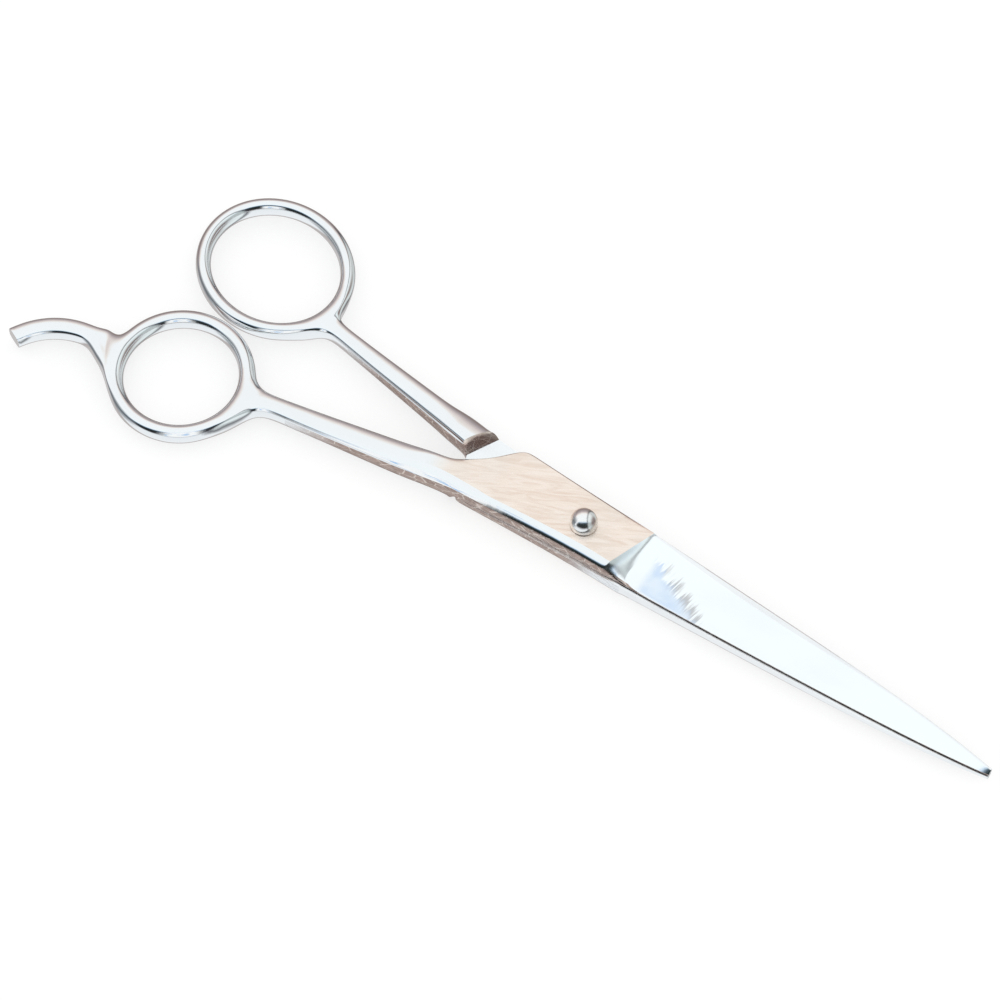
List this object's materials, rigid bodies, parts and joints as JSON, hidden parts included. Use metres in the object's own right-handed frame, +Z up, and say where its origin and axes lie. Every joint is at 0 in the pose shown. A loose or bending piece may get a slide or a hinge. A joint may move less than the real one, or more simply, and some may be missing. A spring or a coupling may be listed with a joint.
{
  "type": "hair cutting shears",
  "caption": "Steel hair cutting shears with forged blades, oval finger and thumb rings, a curved finger rest and a domed pivot screw.",
  "frame": {"origin": "on the pivot axis, in the plane that the shears rest on, at the centre of the screw's flat tail", "axes": "+X along the closed blades to the tips, +Y towards the thumb ring, +Z up along the pivot axis through the domed head"},
  "size_m": [0.209, 0.0609, 0.0098],
  "materials": {
    "finger_half_steel": "polished forged steel with a satin ground plate round the pivot and cross-ground blade",
    "thumb_half_steel": "polished forged steel with duller forged side walls and a ground step",
    "screw_steel": "bright polished domed head"
  },
  "bodies": {
    "thumb_side": {"thumb_half": "thumb_half_steel", "pivot_screw": "screw_steel"},
    "finger_side": {"finger_half": "finger_half_steel"}
  },
  "joints": [
    {"name": "pivot", "type": "hinge", "parent": "thumb_side", "child": "finger_side", "pos_m": [0, 0, 0], "axis": [0, 0, 1], "range_deg": [0, 140]}
  ]
}
